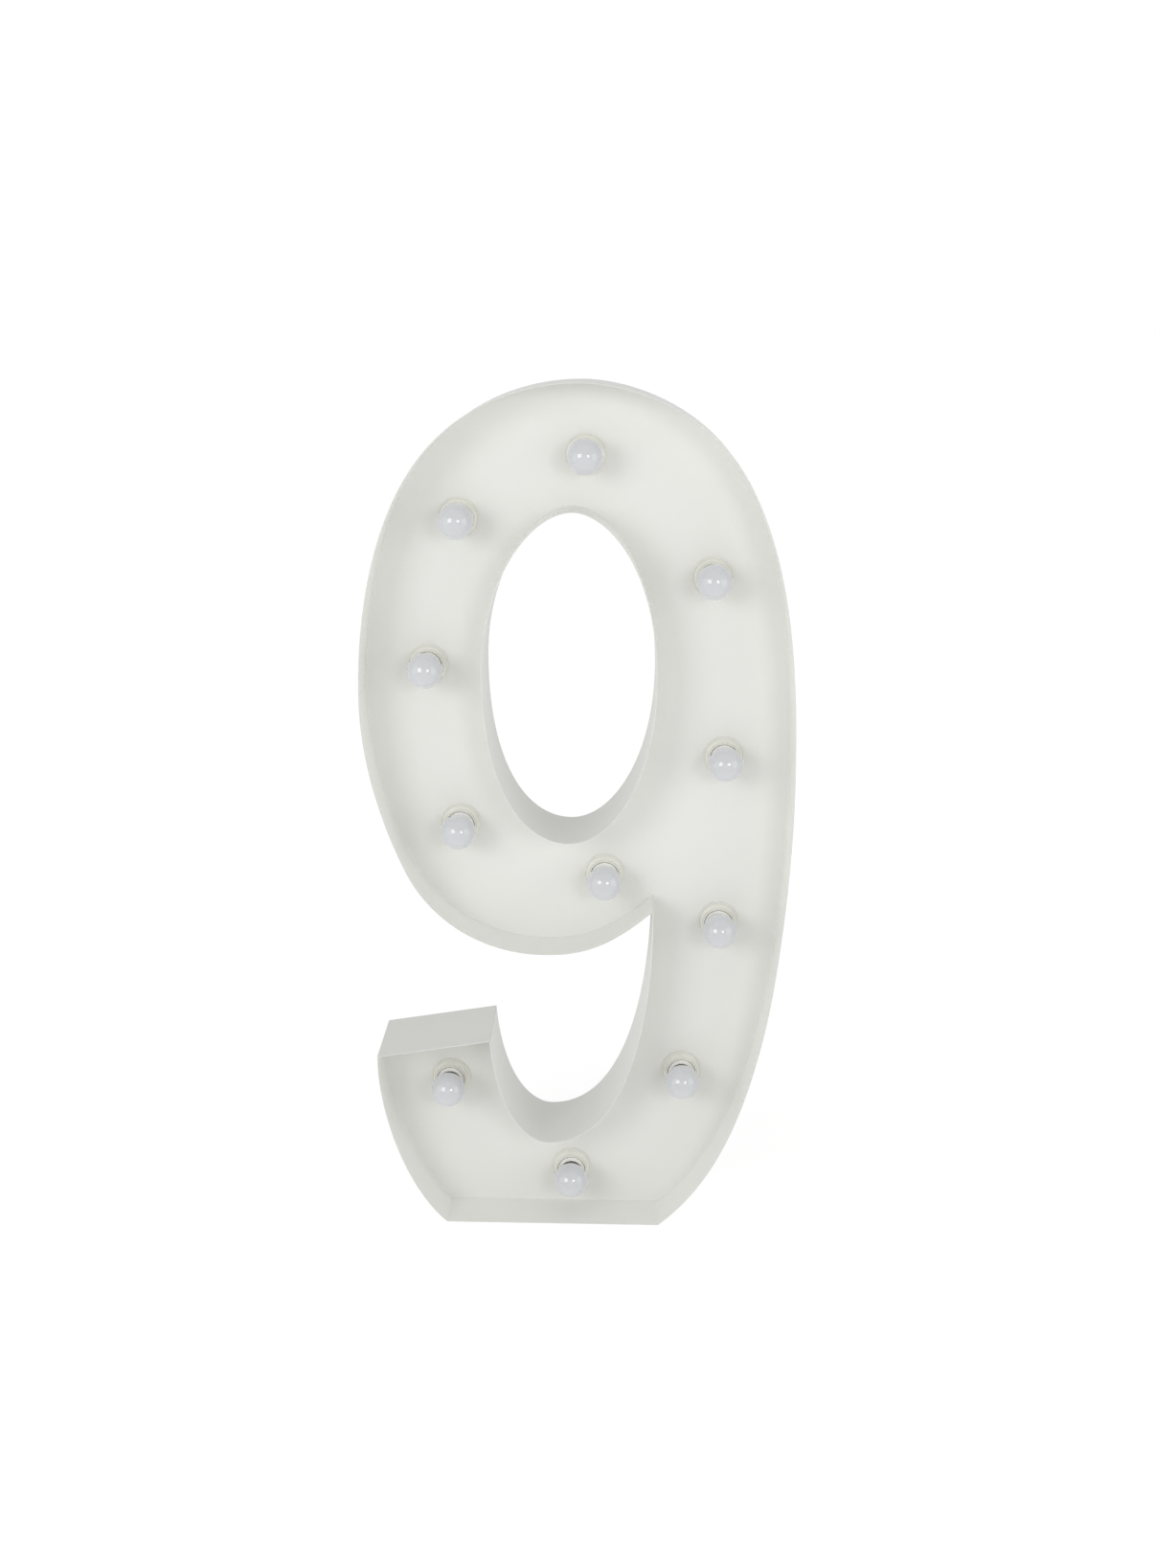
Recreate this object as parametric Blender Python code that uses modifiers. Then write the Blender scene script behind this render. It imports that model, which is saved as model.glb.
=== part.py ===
"""A light up marquee number nine: a deep sheet metal number with a recessed panel of screw-in lamps.

Metres, +Z up. The open front faces -Y, the rear cover faces +Y, and the foot stands on Z = 0.
"""

import math

import bmesh
import bpy
from mathutils import Matrix, Vector
from mathutils.geometry import interpolate_bezier

OBJECT_NAME = "marquee_number_nine"

# Driving sizes of the casing
HEIGHT = 1.2
WIDTH = 0.6
DEPTH = 0.148
PANEL_RECESS = 0.078
COVER_RECESS = 0.004

# Sheet thicknesses, the gap that neighbouring pieces keep, and how far a cut runs past its work
WALL_SHEET = 0.0012
PANEL_SHEET = 0.0015
COVER_SHEET = 0.0012
GAP = 0.0003
OVERRUN = 0.002

# Ledges bent inwards from the walls, which carry the panel and the rear cover
LEDGE_WIDTH = 0.022
LEDGE_REACH = 0.018
LEDGE_SCREW_SHARE = 0.6

# Rear cover screws
SCREW_RADIUS = 0.0015
SCREW_LENGTH = 0.009
SCREW_HEAD_RADIUS = 0.0035
SCREW_HEAD_HEIGHT = 0.0021
SCREW_HEAD_EDGE = 0.0006
SCREW_SLOT_WIDTH = 0.0009
SCREW_SLOT_DEPTH = 0.0008
SCREW_CLEARANCE = 0.0003

# Lampholder, measured along its axis from the front face of the panel
HOLDER_TUBE_RADIUS = 0.0195
HOLDER_MOUTH = 0.0163
HOLDER_MOUTH_EDGE = 0.0008
HOLDER_LEAD_RADIUS = 0.0152
HOLDER_LEAD_DEPTH = 0.003
HOLDER_SHOULDER_RADIUS = 0.0250
HOLDER_SHOULDER_THICKNESS = 0.003
HOLDER_REAR_SHARE = 0.617
HOLDER_REAR_RADIUS = 0.0165
HOLDER_REAR_TAPER = 0.006
HOLDER_HOLE_CLEARANCE = 0.0004

# Shade ring that clamps the lampholder to the panel from the front
RING_RADIUS = 0.0288
RING_FLANGE_THICKNESS = 0.0026
RING_SHOULDER_RADIUS = 0.0262
RING_MOUTH_RADIUS = 0.0214
RING_MOUTH = 0.0134

# Screw cap of the bulb (27 mm Edison screw) and the neck above it
CAP_RADIUS = 0.0132
CAP_CLEARANCE = 0.0005
CAP_LENGTH = 0.0285
CAP_SHOULDER_RADIUS = 0.0095
CAP_SHOULDER_HEIGHT = 0.0022
CONTACT_RADIUS = 0.0048
CONTACT_HEIGHT = 0.0012
NECK_RADIUS = 0.0140
NECK_BASE = 0.0176
NECK_WAIST = 0.0218
NECK_RIM_RADIUS = 0.0166
NECK_RIM_THICKNESS = 0.0014

# Opal globe of the bulb
GLOBE_RADIUS = 0.0245
GLOBE_CENTRE = 0.0488
GLOBE_SEAT = 0.0308
GLOBE_WALL = 0.0015

# Mains cable inlet in the rear cover, junction box and lamp wiring behind the panel
GROMMET_BORE_RADIUS = 0.0036
GROMMET_NECK_RADIUS = 0.0062
GROMMET_FLANGE_RADIUS = 0.0090
GROMMET_FLANGE_THICKNESS = 0.0024
JUNCTION_LENGTH = 0.056
JUNCTION_WIDTH = 0.034
JUNCTION_EDGE = 0.002
WIRE_RADIUS = 0.0035

# Smoothness: points on each bezier, steps round a turned piece, points on each stretch of wire
CURVE_SAMPLES = 12
TURN_STEPS = 16
GLOBE_SAMPLES = 5
WIRE_SAMPLES = 7

# Outline points are (share of WIDTH from the middle, share of HEIGHT from the floor), as chains of
# beziers with two handles between each pair of points. The outer runs go anticlockwise as seen from
# the front, starting at the right corner of the foot.
RIGHT_AND_CROWN_SHARES = [
    (0.206, 0.000), (0.348, 0.058), (0.408, 0.153),
    (0.445, 0.240), (0.477, 0.315), (0.500, 0.442),
    (0.500, 0.538), (0.500, 0.690), (0.473, 0.813),
    (0.368, 0.900), (0.286, 0.968), (0.120, 1.000),
    (0.000, 1.000), (-0.055, 1.000), (-0.214, 0.995),
    (-0.335, 0.930), (-0.456, 0.865), (-0.500, 0.752),
    (-0.500, 0.650),
]
BOWL_SHARES = [
    (-0.500, 0.650), (-0.500, 0.574), (-0.455, 0.501),
    (-0.400, 0.443), (-0.343, 0.382), (-0.218, 0.342),
    (-0.074, 0.342), (0.008, 0.342), (0.075, 0.350),
    (0.178, 0.396),
]
HOOK_SHARES = [
    (0.178, 0.396), (0.185, 0.284), (0.137, 0.106),
    (-0.060, 0.106), (-0.113, 0.106), (-0.183, 0.140),
    (-0.201, 0.234),
]
TAIL_SHARES = [
    (-0.470, 0.212), (-0.473, 0.147), (-0.406, 0.042),
    (-0.306, 0.000),
]
COUNTER_SHARES = [
    (0.178, 0.665), (0.178, 0.798), (0.059, 0.858),
    (-0.016, 0.858), (-0.110, 0.858), (-0.219, 0.779),
    (-0.219, 0.679), (-0.219, 0.553), (-0.136, 0.478),
    (-0.017, 0.478), (0.077, 0.478), (0.178, 0.550),
    (0.178, 0.665),
]

# Lamp centres on the panel, in the order in which the wiring visits them
LAMP_SHARES = {
    "tail": (-0.305, 0.1615),
    "foot": (-0.008, 0.046),
    "leg": (0.258, 0.176),
    "lower_right": (0.3385, 0.3665),
    "right": (0.3415, 0.5685),
    "upper_right": (0.3055, 0.7795),
    "top": (0.010, 0.918),
    "upper_left": (-0.2805, 0.8445),
    "left": (-0.352, 0.674),
    "lower_left": (-0.2775, 0.4835),
    "bowl_end": (0.065, 0.424),
}
JUNCTION_SHARES = (0.125, 0.1083)
JUNCTION_NEIGHBOUR = "foot"
GROMMET_SHARES = (-0.140, 0.0400)

# Places along the walls that carry a ledge, each as a share of its run of outline points
CROWN_LEDGE_SHARE = 0.68
RIGHT_LEDGE_SHARE = 0.30
BOWL_LEDGE_SHARE = 0.34
FOOT_LEDGE_SHARE = 0.50

# Looks: colour (linear), roughness and metallic value
WHITE_POWDER_COAT = ((0.76, 0.76, 0.73), 0.45, 0.0)
GALVANISED_STEEL = ((0.55, 0.56, 0.57), 0.38, 1.0)
IVORY_PLASTIC = ((0.69, 0.69, 0.63), 0.40, 0.0)
WHITE_PLASTIC = ((0.74, 0.74, 0.73), 0.35, 0.0)
OPAL_GLASS = ((0.66, 0.66, 0.70), 0.12, 0.0)
BLACK_RUBBER = ((0.02, 0.02, 0.02), 0.70, 0.0)
BLACK_CABLE = ((0.03, 0.03, 0.03), 0.55, 0.0)
GREY_PLASTIC = ((0.35, 0.36, 0.37), 0.50, 0.0)

# Places along the depth, from the front rim to the back edge
FRONT = -DEPTH / 2
BACK = DEPTH / 2
PANEL_FRONT = FRONT + PANEL_RECESS
PANEL_BACK = PANEL_FRONT + PANEL_SHEET
COVER_BACK = BACK - COVER_RECESS
COVER_FRONT = COVER_BACK - COVER_SHEET
HOLDER_REAR = (COVER_FRONT - PANEL_FRONT) * HOLDER_REAR_SHARE
HOLDER_BACK = PANEL_FRONT + HOLDER_REAR


def clear_scene():
    """Removes whatever the scene holds."""
    for obj in list(bpy.data.objects):
        bpy.data.objects.remove(obj, do_unlink=True)


def new_collection(name):
    """A collection of the scene."""
    collection = bpy.data.collections.new(name)
    bpy.context.scene.collection.children.link(collection)
    return collection


def new_material(name, look):
    """A Principled material of its own for one piece."""
    colour, roughness, metallic = look
    material = bpy.data.materials.new(name)
    material.use_nodes = True
    shader = material.node_tree.nodes["Principled BSDF"]
    shader.inputs["Base Color"].default_value = (*colour, 1.0)
    shader.inputs["Roughness"].default_value = roughness
    shader.inputs["Metallic"].default_value = metallic
    return material


def add_object(name, data, look):
    """Puts a piece's data into the parts collection under its name."""
    obj = bpy.data.objects.new(name, data)
    PARTS.objects.link(obj)
    data.materials.append(new_material(name, look))
    return obj


def place(share):
    """The real place of a point given as shares of WIDTH and HEIGHT."""
    return Vector((share[0] * WIDTH, share[1] * HEIGHT))


def sampled(shares):
    """The points along a chain of beziers, both ends included."""
    knots = [place(share) for share in shares]
    points = [knots[0]]
    for start in range(0, len(knots) - 1, 3):
        points += interpolate_bezier(*knots[start:start + 4], CURVE_SAMPLES + 1)[1:]
    return points


def inward(loop, index):
    """The mitred inward direction at a point of an anticlockwise loop, one unit of inset long."""
    before = (loop[index] - loop[index - 1]).normalized()
    after = (loop[(index + 1) % len(loop)] - loop[index]).normalized()
    middle = (before.orthogonal() + after.orthogonal()).normalized()
    return middle / middle.dot(after.orthogonal())


def inset(loop, distance):
    """The loop drawn in by a distance, or let out where the distance is negative."""
    return [point + inward(loop, index) * distance for index, point in enumerate(loop)]


def circle(centre, radius):
    """A loop of points round a centre."""
    angles = [math.tau * step / TURN_STEPS for step in range(TURN_STEPS)]
    return [centre + Vector((math.cos(angle), math.sin(angle))) * radius for angle in angles]


def flat_piece(name, loops, front, thickness, look):
    """A sheet cut to an outer loop, less any inner loops, from front back through its thickness."""
    curve = bpy.data.curves.new(name, "CURVE")
    curve.dimensions = "2D"
    curve.fill_mode = "BOTH"
    curve.extrude = thickness / 2
    for loop in loops:
        spline = curve.splines.new("POLY")
        spline.points.add(len(loop) - 1)
        spline.use_cyclic_u = True
        for knot, point in zip(spline.points, loop):
            knot.co = (point.x, point.y, 0, 1)
    obj = add_object(name, curve, look)
    obj.rotation_euler.x = math.pi / 2
    obj.location.y = front + thickness / 2
    return obj


def as_mesh(obj):
    """Turns a curve object into a mesh object of the same name and place, with its caps welded."""
    bpy.context.view_layer.update()
    evaluated = obj.evaluated_get(bpy.context.evaluated_depsgraph_get())
    mesh = bpy.data.meshes.new_from_object(evaluated)
    shell = bmesh.new()
    shell.from_mesh(mesh)
    bmesh.ops.remove_doubles(shell, verts=shell.verts, dist=GAP / 10)
    shell.to_mesh(mesh)
    shell.free()
    name = obj.name
    matrix = obj.matrix_world.copy()
    curve = obj.data
    bpy.data.objects.remove(obj)
    bpy.data.curves.remove(curve)
    mesh.name = name
    solid = bpy.data.objects.new(name, mesh)
    PARTS.objects.link(solid)
    solid.matrix_world = matrix
    return solid


def combine(obj, operand, operation):
    """A Boolean modifier on a piece, with its operand kept out of sight."""
    modifier = obj.modifiers.new(operand.name, "BOOLEAN")
    modifier.object = operand
    modifier.operation = operation
    modifier.solver = "EXACT"


def hidden_box(name, size, location, turn):
    """A box for a Boolean, turned about the depth axis, in the cutters collection."""
    mesh = bpy.data.meshes.new(name)
    shell = bmesh.new()
    bmesh.ops.create_cube(shell, size=1)
    bmesh.ops.scale(shell, verts=shell.verts, vec=size)
    shell.to_mesh(mesh)
    shell.free()
    return hide(bpy.data.objects.new(name, mesh), location, turn)


def hidden_rod(name, radius, length, location):
    """A cylinder along the depth axis for a Boolean, in the cutters collection."""
    mesh = bpy.data.meshes.new(name)
    shell = bmesh.new()
    bmesh.ops.create_cone(
        shell, cap_ends=True, segments=TURN_STEPS, radius1=radius, radius2=radius, depth=length,
        matrix=Matrix.Rotation(math.pi / 2, 4, "X"),
    )
    shell.to_mesh(mesh)
    shell.free()
    return hide(bpy.data.objects.new(name, mesh), location, 0)


def hide(obj, location, turn):
    """Keeps a Boolean's operand as a wire in the cutters collection."""
    obj.location = location
    obj.rotation_euler.y = turn
    obj.hide_render = True
    obj.display_type = "WIRE"
    CUTTERS.objects.link(obj)
    return obj


def turned(name, profile, look, closed=False):
    """A piece turned round its own Z axis from (radius, height) points down its outer side."""
    mesh = bpy.data.meshes.new(name)
    shell = bmesh.new()
    verts = [shell.verts.new((radius, 0, height)) for radius, height in profile]
    for first, second in zip(verts, verts[1:]):
        shell.edges.new((first, second))
    if closed:
        shell.edges.new((verts[-1], verts[0]))
    shell.to_mesh(mesh)
    shell.free()
    obj = add_object(name, mesh, look)
    screw = obj.modifiers.new("turn", "SCREW")
    screw.steps = TURN_STEPS
    screw.render_steps = TURN_STEPS
    screw.use_merge_vertices = True
    screw.merge_threshold = GAP / 10
    return obj


def wall_strip(name, points, inner_points):
    """A bent strip of the wall, as deep as the casing, with its ends drawn in by half a gap."""
    ends = []
    for run in (points, inner_points):
        first = run[0] + (run[1] - run[0]).normalized() * GAP / 2
        last = run[-1] + (run[-2] - run[-1]).normalized() * GAP / 2
        ends.append([first, *run[1:-1], last])
    loop = ends[0] + ends[1][::-1]
    return as_mesh(flat_piece(name, [loop], FRONT, DEPTH, WHITE_POWDER_COAT))


def add_ledges(wall, tag, point, direction):
    """Unions the panel's and the cover's ledge to a wall, and bores the cover's for its screw."""
    turn = math.atan2(direction.x, direction.y)
    centre = point + direction * (WALL_SHEET + LEDGE_REACH) / 2
    size = (LEDGE_WIDTH, WALL_SHEET, LEDGE_REACH)
    panel_depth = PANEL_BACK + GAP + WALL_SHEET / 2
    cover_depth = COVER_FRONT - GAP - WALL_SHEET / 2
    for use, depth in (("panel", panel_depth), ("cover", cover_depth)):
        ledge = hidden_box(f"{use}_ledge_{tag}", size, (centre.x, depth, centre.y), turn)
        combine(wall, ledge, "UNION")
    hole = screw_place(point, direction)
    radius = SCREW_RADIUS + SCREW_CLEARANCE
    length = WALL_SHEET + 2 * OVERRUN
    rod = hidden_rod(f"ledge_hole_{tag}", radius, length, (hole.x, cover_depth, hole.y))
    combine(wall, rod, "DIFFERENCE")


def screw_place(point, direction):
    """Where the cover screw sits on a ledge."""
    return point + direction * (WALL_SHEET + LEDGE_REACH * LEDGE_SCREW_SHARE)


def cover_screw(tag, centre):
    """A slotted pan head screw that holds the rear cover to a ledge."""
    profile = [
        (0, SCREW_HEAD_HEIGHT),
        (SCREW_HEAD_RADIUS - SCREW_HEAD_EDGE, SCREW_HEAD_HEIGHT),
        (SCREW_HEAD_RADIUS, SCREW_HEAD_HEIGHT - SCREW_HEAD_EDGE),
        (SCREW_HEAD_RADIUS, 0),
        (SCREW_RADIUS, 0),
        (SCREW_RADIUS, -SCREW_LENGTH),
        (0, -SCREW_LENGTH),
    ]
    screw = turned(f"cover_screw_{tag}", profile, GALVANISED_STEEL)
    screw.location = (centre.x, COVER_BACK + GAP, centre.y)
    screw.rotation_euler.x = -math.pi / 2
    slot_size = (2 * (SCREW_HEAD_RADIUS + OVERRUN), 2 * SCREW_SLOT_DEPTH, SCREW_SLOT_WIDTH)
    slot_depth = COVER_BACK + GAP + SCREW_HEAD_HEIGHT
    slot = hidden_box(f"slot_{tag}", slot_size, (centre.x, slot_depth, centre.y), 0)
    combine(screw, slot, "DIFFERENCE")


def lampholder_profile():
    """The holder's closed rear, its shoulder behind the panel and its open screw socket."""
    bore_radius = CAP_RADIUS + CAP_CLEARANCE
    floor = HOLDER_MOUTH - CAP_LENGTH - GAP
    shoulder_front = -PANEL_SHEET - GAP
    shoulder_back = shoulder_front - HOLDER_SHOULDER_THICKNESS
    return [
        (0, floor),
        (bore_radius, floor),
        (bore_radius, HOLDER_MOUTH - HOLDER_LEAD_DEPTH),
        (HOLDER_LEAD_RADIUS, HOLDER_MOUTH),
        (HOLDER_TUBE_RADIUS - HOLDER_MOUTH_EDGE, HOLDER_MOUTH),
        (HOLDER_TUBE_RADIUS, HOLDER_MOUTH - HOLDER_MOUTH_EDGE),
        (HOLDER_TUBE_RADIUS, shoulder_front),
        (HOLDER_SHOULDER_RADIUS, shoulder_front),
        (HOLDER_SHOULDER_RADIUS, shoulder_back),
        (HOLDER_TUBE_RADIUS, shoulder_back),
        (HOLDER_TUBE_RADIUS, HOLDER_REAR_TAPER - HOLDER_REAR),
        (HOLDER_REAR_RADIUS, -HOLDER_REAR),
        (0, -HOLDER_REAR),
    ]


def shade_ring_profile():
    """The tapered ring round the holder's mouth."""
    bore_radius = HOLDER_TUBE_RADIUS + GAP
    return [
        (bore_radius, RING_MOUTH),
        (RING_MOUTH_RADIUS, RING_MOUTH),
        (RING_SHOULDER_RADIUS, GAP + RING_FLANGE_THICKNESS),
        (RING_RADIUS, GAP + RING_FLANGE_THICKNESS),
        (RING_RADIUS, GAP),
        (bore_radius, GAP),
    ]


def bulb_base_profile():
    """The bulb's neck, which the globe sits on, and its screw cap down to the centre contact."""
    rim = GLOBE_SEAT - GAP
    cap_end = HOLDER_MOUTH - CAP_LENGTH
    return [
        (0, rim),
        (NECK_RIM_RADIUS, rim),
        (NECK_RIM_RADIUS, rim - NECK_RIM_THICKNESS),
        (NECK_RADIUS, NECK_WAIST),
        (NECK_RADIUS, NECK_BASE),
        (CAP_RADIUS, NECK_BASE),
        (CAP_RADIUS, cap_end + CONTACT_HEIGHT + CAP_SHOULDER_HEIGHT),
        (CAP_SHOULDER_RADIUS, cap_end + CONTACT_HEIGHT),
        (CONTACT_RADIUS, cap_end + CONTACT_HEIGHT),
        (CONTACT_RADIUS, cap_end),
        (0, cap_end),
    ]


def globe_profile():
    """The opal shell, from its outer pole down to the rim and back up inside."""
    points = []
    inner_radius = GLOBE_RADIUS - GLOBE_WALL
    for radius, order in ((GLOBE_RADIUS, 1), (inner_radius, -1)):
        rim_angle = math.acos((GLOBE_SEAT - GLOBE_CENTRE) / radius)
        steps = [rim_angle * step / GLOBE_SAMPLES for step in range(GLOBE_SAMPLES + 1)]
        arc = [(radius * math.sin(a), GLOBE_CENTRE + radius * math.cos(a)) for a in steps]
        points += arc[::order]
    return points


def add_lamp(name, centre):
    """One lamp: its holder, shade ring, bulb base and globe, on an empty that faces forwards."""
    station = bpy.data.objects.new(f"lamp_{name}", None)
    PARTS.objects.link(station)
    station.location = (centre.x, PANEL_FRONT, centre.y)
    station.rotation_euler.x = math.pi / 2
    pieces = [
        turned(f"lampholder_{name}", lampholder_profile(), IVORY_PLASTIC),
        turned(f"shade_ring_{name}", shade_ring_profile(), IVORY_PLASTIC, closed=True),
        turned(f"bulb_base_{name}", bulb_base_profile(), WHITE_PLASTIC),
        turned(f"bulb_globe_{name}", globe_profile(), OPAL_GLASS),
    ]
    for piece in pieces:
        piece.parent = station


def add_grommet(centre):
    """The rubber cable inlet, whose neck sits in the rear cover."""
    inner_end = -(COVER_SHEET + GAP + GROMMET_FLANGE_THICKNESS)
    profile = [
        (GROMMET_BORE_RADIUS, GAP + GROMMET_FLANGE_THICKNESS),
        (GROMMET_FLANGE_RADIUS, GAP + GROMMET_FLANGE_THICKNESS),
        (GROMMET_FLANGE_RADIUS, GAP),
        (GROMMET_NECK_RADIUS, GAP),
        (GROMMET_NECK_RADIUS, -COVER_SHEET - GAP),
        (GROMMET_FLANGE_RADIUS, -COVER_SHEET - GAP),
        (GROMMET_FLANGE_RADIUS, inner_end),
        (GROMMET_BORE_RADIUS, inner_end),
    ]
    grommet = turned("cable_grommet", profile, BLACK_RUBBER, closed=True)
    grommet.location = (centre.x, COVER_BACK, centre.y)
    grommet.rotation_euler.x = -math.pi / 2


def add_junction_box(centre, direction):
    """The box that joins the wiring, seated on the back of the panel and in line with the wire."""
    front = PANEL_BACK + GAP
    depth = HOLDER_BACK - front
    mesh = bpy.data.meshes.new("junction_box")
    shell = bmesh.new()
    bmesh.ops.create_cube(shell, size=1)
    bmesh.ops.scale(shell, verts=shell.verts, vec=(JUNCTION_LENGTH, depth, JUNCTION_WIDTH))
    shell.to_mesh(mesh)
    shell.free()
    box = add_object("junction_box", mesh, GREY_PLASTIC)
    box.location = (centre.x, front + depth / 2, centre.y)
    box.rotation_euler.y = -math.atan2(direction.y, direction.x)
    edges = box.modifiers.new("edges", "BEVEL")
    edges.width = JUNCTION_EDGE
    edges.segments = 2


def smooth_route(stops):
    """Points of a smooth curve that passes through every stop."""
    padded = [2 * stops[0] - stops[1], *stops, 2 * stops[-1] - stops[-2]]
    points = [stops[0]]
    for before, start, end, after in zip(padded, padded[1:], padded[2:], padded[3:]):
        first_handle = start + (end - before) / 6
        second_handle = end - (after - start) / 6
        points += interpolate_bezier(start, first_handle, second_handle, end, WIRE_SAMPLES + 1)[1:]
    return points


def add_wiring(stops):
    """The cable that runs from lampholder to lampholder behind the panel."""
    curve = bpy.data.curves.new("lamp_wiring", "CURVE")
    curve.dimensions = "3D"
    curve.bevel_depth = WIRE_RADIUS
    curve.bevel_resolution = 2
    curve.use_fill_caps = True
    route = smooth_route(stops)
    depth = HOLDER_BACK + GAP + WIRE_RADIUS
    spline = curve.splines.new("POLY")
    spline.points.add(len(route) - 1)
    for knot, point in zip(spline.points, route):
        knot.co = (point.x, depth, point.y, 1)
    add_object("lamp_wiring", curve, BLACK_CABLE)


def station_on(loop, start, end, share):
    """The point and inward direction at a share of the way along part of a loop."""
    index = round(start + (end - start) * share)
    return loop[index], inward(loop, index).normalized()


def build():
    """Builds every piece of the number."""
    runs = [sampled(shares) for shares in (RIGHT_AND_CROWN_SHARES, BOWL_SHARES, HOOK_SHARES)]
    tail_end = [runs[-1][-1], place(TAIL_SHARES[0])]
    tail = sampled(TAIL_SHARES)
    foot = [tail[-1], runs[0][0]]
    runs += [tail_end, tail, foot]
    outer = [point for run in runs for point in run[:-1]]
    outer_inset = inset(outer, WALL_SHEET)
    counter = sampled(COUNTER_SHARES)[:-1]

    names = ["wall_right_and_crown", "wall_bowl", "wall_hook", "wall_tail_end", "wall_tail", "foot_plate"]
    walls = {}
    spans = {}
    start = 0
    for name, run in zip(names, runs):
        end = start + len(run) - 1
        inner_points = [outer_inset[index % len(outer)] for index in range(start, end + 1)]
        walls[name] = wall_strip(name, run, inner_points)
        spans[name] = (start, end)
        start = end
    flat_piece("wall_counter", [inset(counter, -WALL_SHEET), counter], FRONT, DEPTH, WHITE_POWDER_COAT)

    crown_and_right = spans["wall_right_and_crown"]
    ledges = {
        "crown": ("wall_right_and_crown", station_on(outer, *crown_and_right, CROWN_LEDGE_SHARE)),
        "right": ("wall_right_and_crown", station_on(outer, *crown_and_right, RIGHT_LEDGE_SHARE)),
        "bowl": ("wall_bowl", station_on(outer, *spans["wall_bowl"], BOWL_LEDGE_SHARE)),
        "foot": ("foot_plate", (foot[0].lerp(foot[1], FOOT_LEDGE_SHARE), Vector((0, 1)))),
    }
    screws = {}
    for tag, (wall_name, (point, direction)) in ledges.items():
        add_ledges(walls[wall_name], tag, point, direction)
        screws[tag] = screw_place(point, direction)
        cover_screw(tag, screws[tag])

    lamps = {name: place(share) for name, share in LAMP_SHARES.items()}
    sheet_edge = [inset(outer, WALL_SHEET + GAP), inset(counter, -WALL_SHEET - GAP)]
    hole_radius = HOLDER_TUBE_RADIUS + HOLDER_HOLE_CLEARANCE
    lamp_holes = [circle(centre, hole_radius) for centre in lamps.values()]
    flat_piece("lamp_panel", sheet_edge + lamp_holes, PANEL_FRONT, PANEL_SHEET, WHITE_POWDER_COAT)

    grommet = place(GROMMET_SHARES)
    cover_holes = [circle(centre, SCREW_RADIUS + SCREW_CLEARANCE) for centre in screws.values()]
    cover_holes.append(circle(grommet, GROMMET_NECK_RADIUS + GAP))
    flat_piece("rear_cover", sheet_edge + cover_holes, COVER_FRONT, COVER_SHEET, WHITE_POWDER_COAT)
    add_grommet(grommet)

    for name, centre in lamps.items():
        add_lamp(name, centre)
    junction = place(JUNCTION_SHARES)
    stops = list(lamps.values())
    after = list(lamps).index(JUNCTION_NEIGHBOUR) + 1
    add_junction_box(junction, stops[after] - stops[after - 1])
    add_wiring(stops[:after] + [junction] + stops[after:])


clear_scene()
PARTS = new_collection(OBJECT_NAME)
CUTTERS = new_collection("cutters")
build()
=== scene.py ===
"""Looks of the light up marquee number nine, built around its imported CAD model.

Metres, +Z up, the open front towards -Y. Sizes that the CAD also uses repeat its values.
"""

import math

import bmesh
import bpy
from mathutils import Matrix, Vector
from mathutils.geometry import interpolate_bezier


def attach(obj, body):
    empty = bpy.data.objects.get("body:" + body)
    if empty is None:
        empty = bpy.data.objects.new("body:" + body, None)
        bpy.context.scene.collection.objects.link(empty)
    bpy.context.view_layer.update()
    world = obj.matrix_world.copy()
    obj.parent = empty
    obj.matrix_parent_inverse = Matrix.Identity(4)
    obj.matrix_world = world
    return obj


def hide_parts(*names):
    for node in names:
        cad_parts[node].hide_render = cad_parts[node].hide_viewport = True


# Sizes of the casing, as in the CAD
HEIGHT = 1.2
WIDTH = 0.6
DEPTH = 0.148
PANEL_RECESS = 0.078
COVER_RECESS = 0.004
WALL_SHEET = 0.0012
PANEL_SHEET = 0.0015
COVER_SHEET = 0.0012
GAP = 0.0003
LEDGE_WIDTH = 0.022
LEDGE_REACH = 0.018
LEDGE_SCREW_SHARE = 0.6

# Lampholder, shade ring and bulb, measured along the lamp's axis from the front of the panel
HOLDER_TUBE_RADIUS = 0.0195
HOLDER_MOUTH = 0.0163
HOLDER_LEAD_RADIUS = 0.0152
HOLDER_LEAD_DEPTH = 0.003
HOLDER_SHOULDER_RADIUS = 0.0250
HOLDER_SHOULDER_THICKNESS = 0.003
HOLDER_REAR = 0.040
HOLDER_REAR_RADIUS = 0.0165
HOLDER_REAR_TAPER = 0.006
RING_RADIUS = 0.0288
RING_FLANGE_THICKNESS = 0.0026
RING_SHOULDER_RADIUS = 0.0262
RING_MOUTH_RADIUS = 0.0214
RING_MOUTH = 0.0134
CAP_RADIUS = 0.0132
CAP_CLEARANCE = 0.0005
CAP_LENGTH = 0.0285
CAP_SHOULDER_RADIUS = 0.0095
CAP_SHOULDER_HEIGHT = 0.0022
CONTACT_RADIUS = 0.0048
CONTACT_HEIGHT = 0.0012
NECK_RADIUS = 0.0140
NECK_BASE = 0.0176
NECK_WAIST = 0.0218
NECK_RIM_RADIUS = 0.0166
NECK_RIM_THICKNESS = 0.0014
GLOBE_RADIUS = 0.0245
GLOBE_CENTRE = 0.0488
GLOBE_SEAT = 0.0308

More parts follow.
